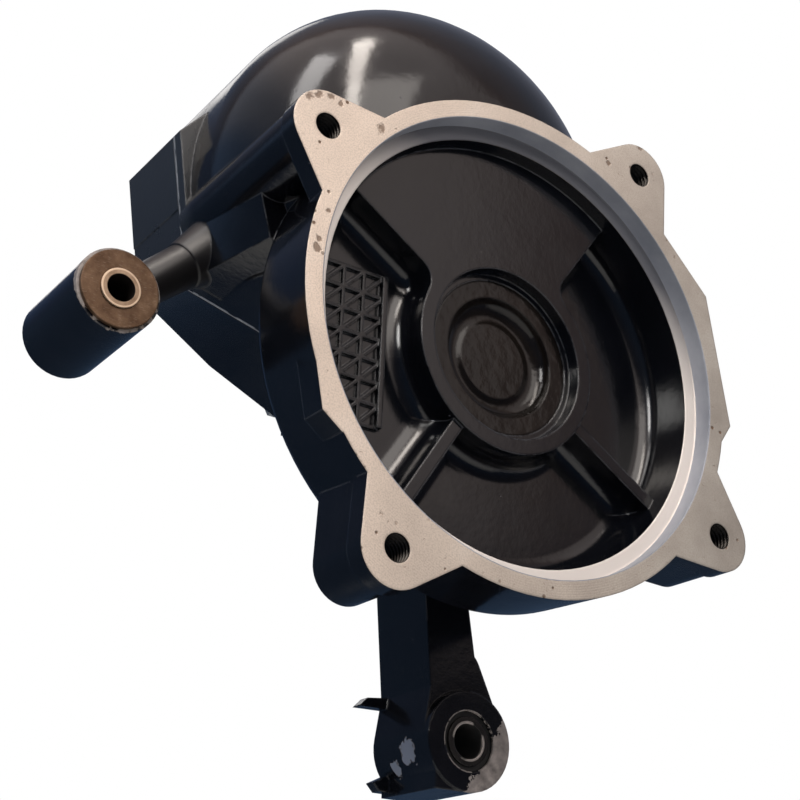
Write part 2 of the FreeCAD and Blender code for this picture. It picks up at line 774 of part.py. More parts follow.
# Turned and keyed pieces
def closing_cap():
    r = input_front_bearing[1]
    y = cap_front_y
    floor_y = y + cap_recess_depth
    lean = math.sqrt(0.5)
    bowl_r = cap_ring_r - cap_recess_depth * (1 - lean)
    bowl_y = y + cap_recess_depth * lean
    profile = [
        (0, floor_y),
        (cap_recess_r, floor_y),
        (bowl_r, bowl_y, "arc"),
        (cap_ring_r, y),
        (r, y),
        (r, y + cap_depth),
        (r - cap_wall, y + cap_depth),
        (r - cap_wall, y + cap_wall),
        (cap_ring_r + cap_wall, y + cap_wall),
        (bowl_r + cap_wall * lean, bowl_y + cap_wall * lean, "arc"),
        (cap_recess_r, floor_y + cap_wall),
        (0, floor_y + cap_wall),
    ]
    return revolve(profile, motor_axis)


def key_slot(at, bore_r, width, rise, y0, y1):
    """A keyway beside a bore; a negative rise puts it on the -Z side."""
    x, z = at
    half = width / 2
    top = z + math.copysign(bore_r, rise) + rise
    return prism([(x - half, z), (x + half, z), (x + half, top), (x - half, top)], y0, y1)


def input_shaft(phase):
    a = motor_axis
    front_y = input_front_bearing[3]
    rear_y = input_rear_bearing[3] + input_rear_bearing[2]
    bore_r = input_front_bearing[0]
    pinion_root_r = stage_one_module * (stage_one_pinion_teeth / 2 - 1.25 + pinion_shift)
    body = fuse([
        disc(bore_r, front_y, rear_y, a),
        disc(input_collar_r, front_y + input_front_bearing[2], input_rear_bearing[3], a),
        disc(pinion_root_r, rear_y, stage_one_y + stage_one_width, a),
        gear(stage_one_module, stage_one_pinion_teeth, pinion_shift, stage_one_y,
             stage_one_y + stage_one_width, a, phase),
    ])
    bore_end = front_y + motor_shaft_bore_length
    bore = disc(motor_shaft_bore_r, front_y - over, bore_end, a)
    slot = key_slot(a, motor_shaft_bore_r, motor_key_width, motor_key_rise, front_y - over, bore_end)
    return body.cut(fuse([bore, slot]))


def intermediate_shaft(phase):
    c = intermediate_axis
    front = intermediate_front_bearing
    rear = intermediate_rear_bearing
    body = fuse([
        disc(front[0], front[3], front[3] + front[2], c),
        disc(wheel_one_seat_r, bearing_end(front), wheel_one_y() + wheel_one_width, c),
        disc(wheel_one_shoulder_r, wheel_one_y() + wheel_one_width, stage_two_y, c),
        gear(stage_two_module, stage_two_pinion_teeth, pinion_shift, stage_two_y,
             stage_two_y + stage_two_width, c, phase),
        disc(intermediate_shoulder_r, stage_two_y + stage_two_width, rear[3], c),
        disc(rear[0], rear[3], rear[3] + rear[2], c),
    ])
    key = key_bar(c, wheel_one_seat_r, wheel_one_key, wheel_one_key_y())
    seat_r = wheel_one_seat_r
    groove = tube(seat_r + over, seat_r - clip_groove, wheel_one_y() - clip_thickness, wheel_one_y(), c)
    return cut_all(body, [key, groove])


def wheel_one_y():
    return stage_one_y + (stage_one_width - wheel_one_width) / 2


def wheel_one_key_y():
    return wheel_one_y() + (wheel_one_width - wheel_one_key[2]) / 2


def key_bar(at, shaft_r, spec, y0):
    width, height, length = spec
    x, z = at
    low = z + shaft_r - height / 2
    half = width / 2
    return prism([(x - half, low), (x + half, low), (x + half, low + height), (x - half, low + height)],
                 y0, y0 + length)


def wheel(module, teeth, at, y0, width, seat_r, key, phase, web):
    """A keyed spur wheel with a recessed web between its hub and its rim."""
    blank = gear(module, teeth, -pinion_shift, y0, y0 + width, at, phase)
    hub_r, rim_r, web_thickness = web
    side = (width - web_thickness) / 2
    cuts = [disc(seat_r, y0 - over, y0 + width + over, at)]
    cuts.append(key_slot(at, seat_r, key[0], key[1] / 2, y0 - over, y0 + width + over))
    cuts.append(tube(rim_r, hub_r, y0 - over, y0 + side, at))
    cuts.append(tube(rim_r, hub_r, y0 + width - side, y0 + width + over, at))
    return cut_all(blank, cuts)


def output_shaft():
    b = output_axis
    front = output_front_bearing
    rear = output_rear_bearing
    gear_y = wheel_two_y()
    body = fuse([
        disc(front[0], front[3] - shaft_end_gap, gear_y, b),
        disc(wheel_two_seat_r, gear_y, gear_y + wheel_two_width, b),
        disc(output_collar_r, gear_y + wheel_two_width, rear[3], b),
        disc(rear[0], rear[3], output_end_y, b),
    ])
    key = key_bar(b, wheel_two_seat_r, wheel_two_key, wheel_two_key_y())
    bore = disc(output_bore_r, 0, output_end_y + over, b)
    slot = key_slot(b, output_bore_r, output_key_width, -output_key_rise, 0, output_end_y + over)
    return cut_all(body, [key, bore, slot])


def wheel_two_y():
    return stage_two_y + (stage_two_width - wheel_two_width) / 2


def wheel_two_key_y():
    return wheel_two_y() + (wheel_two_width - wheel_two_key[2]) / 2


def shaft_seal():
    b = output_axis
    y0 = case_rear_y - seal_width
    y1 = case_rear_y
    lip_r = output_rear_bearing[0] + seal_lip_clearance
    outer_lip_r = lip_r + seal_lip_slope
    profile = [
        (lip_r, y0 + seal_lip_at[0]),
        (lip_r, y0 + seal_lip_at[1]),
        (outer_lip_r, y1 - seal_lip_clearance - seal_lip_at[0] / 2),
        (outer_lip_r, y1),
        (seal_r, y1),
        (seal_r, y0),
        (seal_r - seal_shell, y0),
        (seal_r - seal_shell, y1 - seal_shell),
        (outer_lip_r + seal_shell, y1 - seal_shell),
        (outer_lip_r, y0 + seal_lip_back),
        (lip_r + seal_lip_back / 2, y0 + seal_lip_back),
    ]
    return revolve(profile, b)


def main():
    os.makedirs("parts", exist_ok=True)
    a, b, c = motor_axis, output_axis, intermediate_axis
    save("gear_housing", gear_housing())
    save("rear_housing", rear_housing())
    save("split_gasket", split_gasket())
    save("split_screws", *[socket_screw(point) for point in screw_points()])
    save("split_dowels", *[disc(dowel_r, split_y - dowel_length / 2, split_y + dowel_length / 2, point)
                           for point in dowel_points()])
    washers = []
    for name, deg in plug_degs.items():
        point = polar(b, plug_circle_r, deg)
        save(name, oil_plug(point))
        washer_end = case_rear_y + plug_washer_thickness
        washers.append(tube(plug_head_r, plug_hole_r, case_rear_y, washer_end, point))
    save("plug_washers", *washers)
    save("closing_cap", closing_cap())

    pinion_one_phase = intermediate_direction_deg
    wheel_one_phase = meshing_phase(a, stage_one_pinion_teeth, pinion_one_phase, c, stage_one_wheel_teeth)
    pinion_two_phase = direction_deg(c, b)
    wheel_two_phase = meshing_phase(c, stage_two_pinion_teeth, pinion_two_phase, b, stage_two_wheel_teeth)
    save("input_pinion_shaft", input_shaft(pinion_one_phase))
    save("intermediate_pinion_shaft", intermediate_shaft(pinion_two_phase))
    save("output_hollow_shaft", output_shaft())
    wheel_one = wheel(stage_one_module, stage_one_wheel_teeth, c, wheel_one_y(), wheel_one_width,
                      wheel_one_seat_r, wheel_one_key, wheel_one_phase, wheel_one_web)
    wheel_two = wheel(stage_two_module, stage_two_wheel_teeth, b, wheel_two_y(), wheel_two_width,
                      wheel_two_seat_r, wheel_two_key, wheel_two_phase, wheel_two_web)
    save("intermediate_wheel", wheel_one)
    save("output_wheel", wheel_two)
    save("intermediate_key", key_bar(c, wheel_one_seat_r, wheel_one_key, wheel_one_key_y()))
    save("output_key", key_bar(b, wheel_two_seat_r, wheel_two_key, wheel_two_key_y()))
    spacer_r = output_front_bearing[0]
    save("output_spacer", tube(spacer_r + output_spacer_wall, spacer_r, bearing_end(output_front_bearing),
                               wheel_two_y(), b))

    bearings = {
        "input_front_bearing": (input_front_bearing, a),
        "input_rear_bearing": (input_rear_bearing, a),
        "intermediate_front_bearing": (intermediate_front_bearing, c),
        "intermediate_rear_bearing": (intermediate_rear_bearing, c),
        "output_front_bearing": (output_front_bearing, b),
        "output_rear_bearing": (output_rear_bearing, b),
    }
    for name, (spec, at) in bearings.items():
        outer_ring, inner_ring = bearing_rings(spec, at)
        save(name + "_outer", outer_ring)
        save(name + "_inner", inner_ring)

    bore_clip_y = input_front_bearing[3] - clip_thickness
    bore_clip_r = input_front_bearing[1] + clip_groove
    save("bore_circlip", circlip(a, bore_clip_y, bore_clip_r - clip_band, bore_clip_r, 90))
    shaft_clip_r = wheel_one_seat_r - clip_groove
    wheel_clip_y = wheel_one_y() - clip_thickness
    save("wheel_circlip", circlip(c, wheel_clip_y, shaft_clip_r, shaft_clip_r + clip_band, 90))
    save("output_seal", shaft_seal())

    left_end = left_bush_y + left_bush_length
    save("left_bush_rubber", tube(left_bush_bore_r, left_sleeve_r, left_bush_y, left_end, left_bush_at))
    sleeve_reach = washer_thickness + sleeve_proud
    save("left_bush_sleeve", tube(left_sleeve_r, left_sleeve_bore_r, left_bush_y - sleeve_reach,
                                  left_end + sleeve_reach, left_bush_at))
    save("left_bush_washers",
         tube(left_washer_r, left_sleeve_r, left_bush_y - washer_thickness, left_bush_y, left_bush_at),
         tube(left_washer_r, left_sleeve_r, left_end, left_end + washer_thickness, left_bush_at))
    eye_end = eye_y + eye_length
    save("eye_bush_rubber", tube(eye_bore_r, eye_sleeve_r, eye_y + eye_rubber_set_back,
                                 eye_end - eye_rubber_set_back, eye_at))
    save("eye_bush_sleeve", tube(eye_sleeve_r, eye_sleeve_bore_r, eye_y + eye_sleeve_set_back,
                                 eye_end - eye_sleeve_set_back, eye_at))


main()
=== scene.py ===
import json
import math

import bpy
from mathutils import Matrix, Vector

# Crane gear motor: looks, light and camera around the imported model. Metres, the model's own frame.
# The flange's face is at y 0, y runs into the housing, and a place in plan is (x, z).
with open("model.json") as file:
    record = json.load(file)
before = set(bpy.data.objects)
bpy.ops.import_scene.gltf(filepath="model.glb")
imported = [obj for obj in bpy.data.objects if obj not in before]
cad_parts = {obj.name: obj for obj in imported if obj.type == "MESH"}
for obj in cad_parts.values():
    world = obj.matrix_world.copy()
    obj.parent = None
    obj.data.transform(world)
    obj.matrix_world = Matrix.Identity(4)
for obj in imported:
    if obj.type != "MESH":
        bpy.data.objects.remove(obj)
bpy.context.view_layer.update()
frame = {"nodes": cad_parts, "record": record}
nodes = frame["nodes"]
scene = bpy.context.scene

# The flange, with its spigot and tapped holes
SPIGOT_R = 0.090
SPIGOT_DEPTH = 0.008
BELL_R = 0.0845
BOLT_R = 0.1075
BOLT_COUNT = 4
BOLT_FIRST_DEG = 58.6
TAP_R = 0.0051
THREAD_PITCH = 0.00175
TOOL_PITCH = 0.0009
MACHINED_MARGIN = 0.0004

# Brown marks on the flange: x, z and size. Each spreads to a multiple of its size.
FLANGE_STAINS = ((-0.1004, 0.0648, 0.0016), (-0.0964, 0.0673, 0.0014), (-0.0907, 0.0685, 0.0018),
                 (-0.0872, 0.0670, 0.0012), (-0.0699, 0.0638, 0.0022), (-0.0928, 0.0066, 0.0015),
                 (-0.0922, 0.0103, 0.0011), (0.0396, 0.0913, 0.0013), (0.0569, 0.1057, 0.0016),
                 (-0.0898, 0.0225, 0.0012))
STAIN_SPREAD = 1.7

# The case: its parting line, and the side wall left of which only the bush barrel stands
SPLIT_Y = 0.090
SEAM_HALF_WIDTH = 0.0006
WALL_X = -0.119

# The eye at the end of the torque arm, and the paint chips beside it (place and size)
EYE_AT = (0.0172, -0.1362)
EYE_FRONT_Y = 0.058
EYE_BORE_R = 0.011
EYE_WORN_TOWARD = (0.86, -0.5)
EYE_WORN_FROM = 0.0085
EYE_SLEEVE_LIP = (0.0066, 0.0074)
EYE_SLEEVE_HOLE_R = 0.0068
ARM_CHIPS = (((-0.0006, 0.0720, -0.1410), 0.0075), ((0.0012, 0.0818, -0.1455), 0.0048))

# The bush barrel at the left, and the stub that joins it to the case
BUSH_AT = (-0.138, 0.0007)
BUSH_FRONT_Y = 0.060
BUSH_R = 0.016
BUSH_SLEEVE_R = 0.0075
BUSH_BORE_R = 0.00525
BUSH_WORN_TOWARD = (-0.6, 0.8)
STUB_TOWARD = (0.744, 0.668)
STUB_ACROSS = (0.668, -0.744)
STUB_Y = 0.081
STUB_R = 0.0101
STUB_LENGTH = 0.066
STUB_FLARE_FROM = 0.0438
STUB_FLARE_SLOPE = 0.2222
STUB_ROOT = (-0.0965, 0.081, 0.038)
STUB_ROOT_R = 0.03

# Colours of the castings. A list gives a ramp's places and colours.
NAVY = [(0.3, (0.0016, 0.0019, 0.003)), (0.75, (0.003, 0.0034, 0.005))]
DUST = (0.13, 0.12, 0.11)
CHALK = (0.018, 0.021, 0.026)
STUB_BLACK = (0.006, 0.0052, 0.0058)
# Lighter edges, concave ones too: partly rubbed paint, partly a painted highlight.
RUBBED_EDGE_AND_HIGHLIGHT = (0.11, 0.115, 0.13)
SEAM = (0.2, 0.215, 0.24)
# Painted light on the flange: a lit ramp, and a shaded ramp that the slopes blend in toward the right
# and bottom as painted shade.
FLANGE_LIT = [(0.25, (0.52, 0.43, 0.365)), (0.55, (0.64, 0.525, 0.44)),
                 (0.85, (0.72, 0.61, 0.53))]
FLANGE_SHADED = [(0.25, (0.23, 0.2, 0.175)), (0.55, (0.35, 0.315, 0.28)),
               (0.85, (0.47, 0.44, 0.405))]
FLANGE_SHADE_SLOPES = (5.5, -0.8)
GRIT = (0.20, 0.17, 0.15)
PIT = (0.13, 0.08, 0.05)
SPIGOT_GREY = [(0.3, (0.20, 0.215, 0.255)), (0.7, (0.33, 0.345, 0.39))]
# The ledge behind the spigot: a painted lit tone low down and painted shade at the top.
LEDGE_LIT = (0.70, 0.64, 0.60)
LEDGE_SHADED = (0.11, 0.112, 0.128)
WORN_METAL = [(0.3, (0.12, 0.105, 0.10)), (0.7, (0.30, 0.265, 0.25))]
CHIP = (0.13, 0.15, 0.20)
TAP_DARK = (0.06, 0.055, 0.05)

# Heights of the castings' relief, and the depth that a height of 1 stands for
SKIN_RELIEF = 0.09
THREAD_RELIEF = 2.2
TOOL_RELIEF = 0.03
PIT_RELIEF = 0.8
WORN_RELIEF = 0.4
RELIEF_DEPTH = 0.00035


# Node helpers
class Nodes:
    """A node tree under construction, with short calls for the nodes it uses most."""

    def __init__(self, tree, coordinates):
        self.tree = tree
        self.tree.nodes.clear()
        self.coords = self.add("ShaderNodeTexCoord").outputs[coordinates]

    def add(self, kind):
        return self.tree.nodes.new(kind)

    def link(self, source, target):
        self.tree.links.new(source, target)

    def feed(self, value, socket):
        """Link a socket, or set a number, a vector or a colour."""
        if isinstance(value, bpy.types.NodeSocket):
            self.link(value, socket)
        elif socket.type == "RGBA":
            socket.default_value = (*value, 1)
        else:
            socket.default_value = value

    def math(self, operation, first, second=0.0, clamp=False):
        node = self.add("ShaderNodeMath")
        node.operation = operation
        node.use_clamp = clamp
        self.feed(first, node.inputs[0])
        self.feed(second, node.inputs[1])
        return node.outputs[0]

    def plus(self, first, second, clamp=False):
        return self.math("ADD", first, second, clamp)

    def minus(self, first, second, clamp=False):
        return self.math("SUBTRACT", first, second, clamp)

    def times(self, first, second):
        return self.math("MULTIPLY", first, second)

    def vector_math(self, operation, first, second):
        """A vector operation that gives a number."""
        node = self.add("ShaderNodeVectorMath")
        node.operation = operation
        self.feed(first, node.inputs[0])
        self.feed(second, node.inputs[1])
        return node.outputs["Value"]

    def map_range(self, value, start, end, first=0.0, last=1.0):
        """From first to last as the value goes from start to end, and no further."""
        node = self.add("ShaderNodeMapRange")
        self.feed(value, node.inputs["Value"])
        self.feed(start, node.inputs["From Min"])
        self.feed(end, node.inputs["From Max"])
        node.inputs["To Min"].default_value = first
        node.inputs["To Max"].default_value = last
        return node.outputs[0]

    def any_of(self, *masks):
        result = masks[0]
        for mask in masks[1:]:
            result = self.math("MAXIMUM", result, mask)
        return result

    def ramp(self, value, stops, interpolation="LINEAR"):
        """A colour ramp from (place, colour) stops."""
        node = self.add("ShaderNodeValToRGB")
        ramp = node.color_ramp
        ramp.interpolation = interpolation
        while len(ramp.elements) < len(stops):
            ramp.elements.new(1.0)
        for element, (place, colour) in zip(ramp.elements, stops):
            element.position = place
            element.color = (*colour, 1)
        self.feed(value, node.inputs[0])
        return node.outputs[0]

    def mix(self, mask, first, second, kind="MIX"):
        """Colours, the first where the mask is 0 and the second where it is 1."""
        node = self.add("ShaderNodeMix")
        node.data_type = "RGBA"
        node.blend_type = kind
        self.feed(mask, node.inputs["Factor"])
        self.feed(first, node.inputs[6])
        self.feed(second, node.inputs[7])
        return node.outputs[2]

    def mix_shaders(self, mask, first, second):
        node = self.add("ShaderNodeMixShader")
        self.link(mask, node.inputs[0])
        self.link(first, node.inputs[1])
        self.link(second, node.inputs[2])
        return node.outputs[0]


class Shader(Nodes):
    """A material under construction. x, y and z are the place on the model."""

    def __init__(self, name):
        self.material = bpy.data.materials.new(name)
        self.material.use_nodes = True
        super().__init__(self.material.node_tree, "Object")
        axes = self.add("ShaderNodeSeparateXYZ")
        self.link(self.coords, axes.inputs[0])
        self.x, self.y, self.z = axes.outputs

    def below(self, value, edge, blur=0.0002):
        """1 where value is under edge, 0 over it, with a soft step of the blur's width."""
        if isinstance(edge, bpy.types.NodeSocket):
            start = self.minus(edge, blur)
        else:
            start = edge - blur
        return self.map_range(value, start, edge, 1.0, 0.0)

    def above(self, value, edge, blur=0.0002):
        return self.minus(1.0, self.below(value, edge, blur))

    def all_of(self, *masks):
        result = masks[0]
        for mask in masks[1:]:
            result = self.times(result, mask)
        return result

    def lean(self, at, slopes):
        """0 at (x, z), changing by the given slopes in x and z: along a line if they have length 1."""
        return self.plus(self.times(self.minus(self.x, at[0]), slopes[0]),
                         self.times(self.minus(self.z, at[1]), slopes[1]))

    def length(self, first, second):
        return self.math("SQRT", self.plus(self.times(first, first), self.times(second, second)))

    def distance(self, at):
        """Distance in plan from the axis at (x, z)."""
        return self.length(self.minus(self.x, at[0]), self.minus(self.z, at[1]))

    def ring(self, at, inner, outer, blur=0.0002):
        """1 between two radii around the axis at (x, z)."""
        r = self.distance(at)
        return self.all_of(self.above(r, inner, blur), self.below(r, outer, blur))

    def ball(self, at, r):
        """1 at a point, fading to 0 at r."""
        away = self.vector_math("DISTANCE", self.coords, at)
        return self.minus(1.0, self.math("DIVIDE", away, r), clamp=True)

    def noise(self, scale, detail=3.0, roughness=0.5, stretch=None):
        node = self.add("ShaderNodeTexNoise")
        node.inputs["Scale"].default_value = scale
        node.inputs["Detail"].default_value = detail
        node.inputs["Roughness"].default_value = roughness
        place = self.coords
        if stretch is not None:
            mapping = self.add("ShaderNodeMapping")
            mapping.inputs["Scale"].default_value = stretch
            self.link(self.coords, mapping.inputs["Vector"])
            place = mapping.outputs[0]
        self.link(place, node.inputs["Vector"])
        return node.outputs["Fac"]

    def cells(self, scale):
        """Distance from the nearest of many scattered points."""
        node = self.add("ShaderNodeTexVoronoi")
        node.inputs["Scale"].default_value = scale
        self.link(self.coords, node.inputs["Vector"])
        return node.outputs["Distance"]

    def swing(self, value, width, centre=0.5):
        """How far a noise is from its centre, scaled to the given width."""
        return self.times(self.minus(value, centre), width)

    def wave(self, value, pitch):
        return self.math("SINE", self.times(value, 2 * math.pi / pitch))

    def blend(self, mask, first, second):
        """Numbers, the first where the mask is 0 and the second where it is 1."""
        node = self.add("ShaderNodeMix")
        node.data_type = "FLOAT"
        self.feed(mask, node.inputs["Factor"])
        self.feed(first, node.inputs[2])
        self.feed(second, node.inputs[3])
        return node.outputs[0]

    def rounded(self, radius):
        """The normal as if the edges were rounded to the radius."""
        node = self.add("ShaderNodeBevel")
        node.samples = 4
        node.inputs["Radius"].default_value = radius
        return node.outputs[0]

    def edges(self, radius, least=0.06, blur=0.05):
        """1 along the edges of the solid, where a rounded normal leaves the true one."""
        true_normal = self.add("ShaderNodeNewGeometry").outputs["Normal"]
        same = self.vector_math("DOT_PRODUCT", self.rounded(radius), true_normal)
        return self.above(self.minus(1.0, same), least, blur)

    def bump(self, height, distance, strength, normal):
        node = self.add("ShaderNodeBump")
        node.inputs["Distance"].default_value = distance
        node.inputs["Strength"].default_value = strength
        self.link(height, node.inputs["Height"])
        self.link(normal, node.inputs["Normal"])
        return node.outputs[0]

    def surface(self, **sockets):
        """The shader, from its sockets' names with _ for a space."""
        node = self.add("ShaderNodeBsdfPrincipled")
        for name, value in sockets.items():
            self.feed(value, node.inputs[name.replace("_", " ")])
        return node.outputs[0]

    def finish(self, surface):
        self.link(surface, self.add("ShaderNodeOutputMaterial").inputs[0])
        return self.material


# Places on the castings, each 1 inside and 0 outside
def tap_walls(s):
    """The walls of the tapped holes, behind the flange's face."""
    holes = []
    for index in range(BOLT_COUNT):
        angle = math.radians(BOLT_FIRST_DEG + 360 / BOLT_COUNT * index)
        at = (BOLT_R * math.cos(angle), BOLT_R * math.sin(angle))
        holes.append(s.below(s.distance(at), TAP_R + 0.0003))
    return s.all_of(s.any_of(*holes), s.above(s.y, 0.0003))


def eye_front(s, ragged):
    """The lower right of the eye's front, where the paint is worn off."""
    lower_right = s.plus(s.lean(EYE_AT, EYE_WORN_TOWARD), s.swing(ragged, 0.012))
    return s.all_of(s.above(lower_right, EYE_WORN_FROM, 0.0004),
                    s.below(s.y, EYE_FRONT_Y + 0.0009),
                    s.below(s.z, EYE_AT[1] + 0.03))


def eye_rim(s, ragged):
    """Parts of the rim around the eye's bore."""
    return s.all_of(s.ring(EYE_AT, EYE_BORE_R - 0.0006, EYE_BORE_R + 0.0005),
                    s.below(s.y, EYE_FRONT_Y + 0.001),
                    s.above(ragged, 0.5, 0.06))


def arm_chips(s, ragged):
    """Two chips in the paint of the torque arm, beside the eye."""
    near = s.any_of(*[s.ball(at, size) for at, size in ARM_CHIPS])
    return s.above(s.plus(near, s.swing(ragged, 1.5, centre=0.59)), 0.3, 0.06)


def barrel_rim(s, ragged):
    """The bush barrel's front rim, rubbed furthest back at its upper left."""
    upper_left = s.math("MAXIMUM", s.lean(BUSH_AT, BUSH_WORN_TOWARD), 0.0)
    depth = s.plus(s.plus(0.0002, s.times(upper_left, 0.22)), s.swing(ragged, 0.006))
    return s.all_of(s.below(s.distance(BUSH_AT), BUSH_R + 0.001),
                    s.below(s.minus(s.y, BUSH_FRONT_Y), depth, 0.0006))


def barrel_stub(s):
    """The stub between barrel and case: a round bar that flares toward the case."""
    along = s.lean(BUSH_AT, STUB_TOWARD)
    off_axis = s.length(s.lean(BUSH_AT, STUB_ACROSS), s.minus(s.y, STUB_Y))
    flare = s.times(s.math("MAXIMUM", s.minus(along, STUB_FLARE_FROM), 0.0), STUB_FLARE_SLOPE)
    return s.all_of(s.above(along, BUSH_R + 0.001), s.below(along, STUB_LENGTH),
                    s.below(s.y, SPLIT_Y + 0.0002), s.below(off_axis, s.plus(flare, STUB_R)))


def rubbed_and_highlighted_edges(s):
    """Parts of the edges, rubbed and with a painted highlight, except around the stub's root and low
    on the torque arm.
    """
    off_root = s.below(s.ball(STUB_ROOT, STUB_ROOT_R), 0.08, 0.08)
    patches = s.above(s.noise(150.0, detail=4.0, roughness=0.6), 0.5, 0.1)
    return s.all_of(s.edges(0.0009), patches, off_root, s.above(s.z, -0.09, 0.01))


def parting_seam(s):
    """Parts of the line around the case where its halves meet, at the left."""
    return s.all_of(s.above(s.y, SPLIT_Y - SEAM_HALF_WIDTH),
                    s.below(s.y, SPLIT_Y + SEAM_HALF_WIDTH),
                    s.below(s.x, -0.05, 0.01), s.above(s.x, WALL_X),
                    s.above(s.noise(170.0), 0.48, 0.06))


def flange_pits(s, ragged):
    """Small pits in patches of the machined face, and the brown marks."""
    pits = s.all_of(s.below(s.cells(190.0), 0.16, 0.05),
                    s.above(s.noise(55.0, detail=2.0), 0.56, 0.06))
    marks = s.any_of(*[s.ball((x, 0.0, z), STAIN_SPREAD * size) for x, z, size in FLANGE_STAINS])
    marks = s.above(s.plus(marks, s.swing(ragged, 2.4)), 0.62, 0.3)
    return s.any_of(pits, s.times(marks, 0.8))


# Colours and relief of the castings
def paint_colour(s, chalky, stub):
    navy = s.ramp(s.noise(38.0, detail=4.0, roughness=0.55), NAVY)
    dust = s.above(s.noise(900.0, detail=2.0, roughness=0.6), 0.735, 0.03)
    paint = s.mix(s.times(dust, 0.1), navy, DUST)
    paint = s.mix(s.times(chalky, 0.8), paint, CHALK)
    paint = s.mix(s.times(stub, 0.85), paint, STUB_BLACK)
    # Lighter edges: partly rubbed paint, partly a painted highlight.
    paint = s.mix(s.times(rubbed_and_highlighted_edges(s), 0.35), paint, RUBBED_EDGE_AND_HIGHLIGHT)
    return s.mix(parting_seam(s), paint, SEAM)


def flange_colour(s, stain, pits):
    """Bright machined metal with painted shade toward the right and bottom, and with grit and pits."""
    # Painted shade: the machined metal darkens toward the right and bottom.
    painted_shade = s.plus(s.lean((0.0, 0.0), FLANGE_SHADE_SLOPES), 0.5, clamp=True)
    metal = s.mix(painted_shade, s.ramp(stain, FLANGE_LIT), s.ramp(stain, FLANGE_SHADED))
    grit = s.above(s.noise(1600.0, detail=2.0, roughness=0.7), 0.58, 0.12)
    metal = s.mix(s.times(grit, 0.28), metal, GRIT)
    return s.mix(pits, metal, PIT)


def spigot_colour(s, stain):
    """The spigot's grey wall, and the ledge behind it, with a painted lit tone below and painted shade
    at the top.
    """
    # Painted shade at the ledge's top, a painted lit tone below.
    ledge_shade = s.above(s.lean((0.0, 0.0), (0.2, 1.0)), 0.065, 0.045)
    ledge = s.above(s.y, SPIGOT_DEPTH - 0.0003)
    return s.mix(ledge, s.ramp(stain, SPIGOT_GREY), s.mix(ledge_shade, LEDGE_LIT, LEDGE_SHADED))


def cast_relief(s, r, bare, face, taps, pits, worn):
    """Cast skin under the paint, fine tool rings on the machined face, threads in the taps."""
    skin = s.plus(s.noise(420.0, roughness=0.6), s.times(s.noise(95.0, detail=2.0), 1.6))
    skin = s.times(skin, s.minus(1.0, bare))
    threads = s.times(s.wave(s.y, THREAD_PITCH), taps)
    rings = s.times(s.wave(r, TOOL_PITCH), face)
    relief = s.plus(s.times(skin, SKIN_RELIEF), s.times(threads, THREAD_RELIEF))
    relief = s.plus(relief, s.times(rings, TOOL_RELIEF))
    relief = s.minus(relief, s.times(s.times(pits, face), PIT_RELIEF))
    return s.minus(relief, s.times(worn, WORN_RELIEF))


# Materials
def cast_paint():
    """Gloss black paint on the castings, bare where the front one is machined, tapped or worn."""
    s = Shader("cast_black_paint")
    r = s.distance((0.0, 0.0))
    ragged = s.noise(260.0, detail=4.0, roughness=0.6)
    stain = s.noise(24.0, detail=5.0, roughness=0.65)

    face = s.below(s.y, MACHINED_MARGIN)
    spigot = s.all_of(s.above(r, BELL_R - MACHINED_MARGIN / 2),
                      s.below(r, SPIGOT_R + MACHINED_MARGIN),
                      s.below(s.y, SPIGOT_DEPTH + MACHINED_MARGIN))
    taps = tap_walls(s)
    chips = arm_chips(s, ragged)
    worn = s.any_of(eye_front(s, ragged), chips, eye_rim(s, ragged), barrel_rim(s, ragged))
    bare = s.any_of(face, spigot, worn)
    chalky = s.all_of(s.above(s.y, SPLIT_Y - 0.004, 0.008), s.below(s.x, -0.09, 0.02),
                      s.above(s.x, WALL_X))
    stub = barrel_stub(s)
    pits = flange_pits(s, ragged)

    metal = s.mix(spigot, flange_colour(s, stain, pits), spigot_colour(s, stain))
    metal = s.mix(worn, metal, s.ramp(ragged, WORN_METAL))
    metal = s.mix(chips, metal, CHIP)
    colour = s.mix(bare, paint_colour(s, chalky, stub), metal)
    colour = s.mix(taps, colour, TAP_DARK)

    paint_rough = s.plus(s.blend(s.noise(75.0), 0.08, 0.2), s.times(chalky, 0.2))
    paint_rough = s.plus(paint_rough, s.times(stub, 0.24))
    rough = s.blend(bare, paint_rough, s.blend(stain, 0.34, 0.56))
    metallic = s.any_of(s.times(bare, 0.25), s.times(taps, 0.8))

    relief = cast_relief(s, r, bare, face, taps, pits, worn)
    normal = s.bump(relief, RELIEF_DEPTH, 1.0, s.rounded(0.0011))
    return s.finish(s.surface(Base_Color=colour, Metallic=metallic, Roughness=rough,
                              Normal=normal))


def steel(name, colour, roughness, stretch=None, scale=120.0):
    """Turned or rolled metal with a grain in its colour, gloss and relief."""
    s = Shader(name)
    grain = s.noise(scale, detail=4.0, roughness=0.6, stretch=stretch)
    dark = tuple(0.72 * part for part in colour)
    tint = s.ramp(grain, [(0.3, dark), (0.7, colour)])
    rough = s.blend(grain, roughness * 0.8, roughness * 1.25)
    normal = s.bump(grain, 0.00012, 0.5, s.rounded(0.0003))
    return s.finish(s.surface(Base_Color=tint, Metallic=0.85, Roughness=rough, Normal=normal))


def bronze_face():
    """The worn bronze-brown end plates of the side bush."""
    s = Shader("bush_face_bronze")
    stain = s.noise(130.0, detail=5.0, roughness=0.65)
    scratches = s.above(s.noise(500.0, detail=2.0, stretch=(1.0, 1.0, 6.0)), 0.66, 0.05)
    tint = s.ramp(stain, [(0.3, (0.055, 0.028, 0.014)), (0.55, (0.11, 0.064, 0.037)),
                          (0.8, (0.21, 0.14, 0.09))])
    tint = s.mix(s.times(scratches, 0.12), tint, (0.4, 0.34, 0.29))
    rough = s.blend(stain, 0.3, 0.5)
    normal = s.bump(stain, 0.0002, 0.6, s.rounded(0.0006))
    return s.finish(s.surface(Base_Color=tint, Metallic=0.75, Roughness=rough, Normal=normal))


